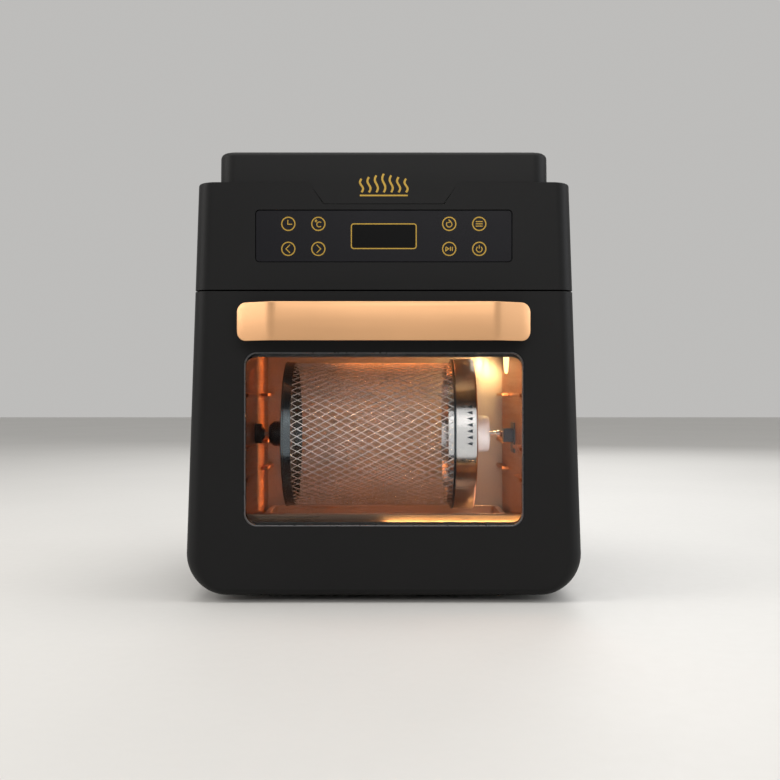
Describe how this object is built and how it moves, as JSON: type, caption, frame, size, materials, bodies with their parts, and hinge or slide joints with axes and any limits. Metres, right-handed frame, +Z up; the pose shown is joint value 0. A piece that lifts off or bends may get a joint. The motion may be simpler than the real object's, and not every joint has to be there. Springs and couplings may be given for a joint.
{
  "type": "air fryer oven",
  "caption": "Countertop air fryer oven with a drop-down glass door, a bar handle, a rotisserie mesh drum, a convection fan and a touch control panel.",
  "frame": {"origin": "on the table, under the middle of the whole box", "axes": "+Z up, the door faces -Y, +X to the right of someone facing the door"},
  "size_m": [0.334, 0.342, 0.378],
  "materials": {
    "black_shell": "fine satin moulded black plastic",
    "cap_shell": "fine satin moulded black plastic, a little lighter",
    "dark_plastic": "matte black plastic",
    "panel_glass": "smooth dark touch panel with gold icons",
    "circuit_board": "green circuit board with parts",
    "cavity_steel": "satin aluminised steel",
    "bracket_steel": "zinc plated sheet steel",
    "bright_steel": "polished stainless steel",
    "lid_steel": "polished and brushed stainless steel",
    "mesh_steel": "expanded stainless steel mesh",
    "rim_steel": "dark coated steel",
    "element_metal": "dark oxidised heater tube",
    "fan_aluminium": "satin pressed aluminium",
    "insulation_wool": "pale mineral wool",
    "gasket_rubber": "grey silicone rubber",
    "foot_rubber": "black rubber",
    "copper_bar": "satin rose gold bar",
    "clear_glass": "clear tempered glass",
    "lamp_glass": "warm lit ribbed lamp glass",
    "gold_print": "gold printed icons and lines",
    "coil_copper": "enamelled copper winding",
    "bush_bronze": "sintered bronze",
    "ceramic_white": "white ceramic",
    "switch_red": "red switch plunger"
  },
  "bodies": {
    "housing": {"front_housing": "black_shell", "top_cap": "cap_shell", "left_side_panel": "black_shell", "right_side_panel": "black_shell", "rear_cover": "dark_plastic", "base_tray": "dark_plastic", "feet": "foot_rubber", "rear_spacers": "dark_plastic", "housing_screws": "bracket_steel", "cable_gland": "dark_plastic", "touch_panel": "panel_glass", "display_module": "dark_plastic", "control_board": "circuit_board", "power_board": "circuit_board", "cavity_left_wall": "cavity_steel", "cavity_right_wall": "cavity_steel", "cavity_back_wall": "cavity_steel", "cavity_floor": "cavity_steel", "cavity_ceiling": "cavity_steel", "cavity_front_frame": "cavity_steel", "door_seal": "gasket_rubber", "insulation": "insulation_wool", "drip_tray": "cavity_steel", "exhaust_duct": "bracket_steel", "heating_element": "element_metal", "heater_shroud": "bracket_steel", "fan_guard": "cavity_steel", "temperature_sensor": "bright_steel", "thermal_cutout": "ceramic_white", "motor_bridge": "bracket_steel", "motor_stator": "bracket_steel", "motor_coil": "coil_copper", "motor_brackets": "bracket_steel", "motor_bushes": "bush_bronze", "rotisserie_motor": "bracket_steel", "shaft_cradle": "bright_steel", "lamp_holder": "ceramic_white", "lamp_bulb": "lamp_glass", "lamp_lens": "lamp_glass", "switch_body": "dark_plastic", "door_magnets": "bracket_steel", "hinge_brackets": "bracket_steel"},
    "door": {"door_shell": "black_shell", "door_glass": "clear_glass", "window_trim": "bright_steel", "window_tunnel": "dark_plastic", "door_inner_frame": "bracket_steel", "door_inner_glass": "clear_glass", "handle_bar": "copper_bar", "handle_grip": "dark_plastic", "hinge_blocks": "bracket_steel", "hinge_pins": "bright_steel"},
    "fan_rotor": {"fan_rotor": "bright_steel", "convection_fan": "fan_aluminium", "cooling_fan": "dark_plastic"},
    "basket": {"basket_mesh": "mesh_steel", "basket_ends": "rim_steel"},
    "basket_lid": {"basket_lid": "lid_steel"},
    "drive_socket": {"drive_socket": "dark_plastic"},
    "switch_plunger": {"switch_plunger": "switch_red"}
  },
  "joints": [
    {"name": "door_hinge", "type": "hinge", "parent": "housing", "child": "door", "pos_m": [0, -0.125, 0.024], "axis": [1, 0, 0], "range_deg": [0, 82]},
    {"name": "fan_spin", "type": "hinge", "parent": "housing", "child": "fan_rotor", "pos_m": [0, 0.009, 0.3], "axis": [0, 0, 1], "continuous": true},
    {"name": "basket_spin", "type": "hinge", "parent": "housing", "child": "basket", "pos_m": [0, 0.009, 0.136], "axis": [1, 0, 0], "continuous": true},
    {"name": "drive_spin", "type": "hinge", "parent": "housing", "child": "drive_socket", "pos_m": [-0.125, 0.009, 0.136], "axis": [1, 0, 0], "continuous": true},
    {"name": "lid_twist", "type": "hinge", "parent": "basket", "child": "basket_lid", "pos_m": [0.08, 0.009, 0.136], "axis": [-1, 0, 0], "range_deg": [0, 20]},
    {"name": "plunger_slide", "type": "slide", "parent": "housing", "child": "switch_plunger", "axis": [0, -1, 0], "range_m": [0, 0.003]}
  ],
  "couplings": [
    {"joint": "drive_spin", "follows": "basket_spin", "ratio": 1},
    {"joint": "plunger_slide", "follows": "door_hinge", "m_per_rad": 0.002096}
  ]
}
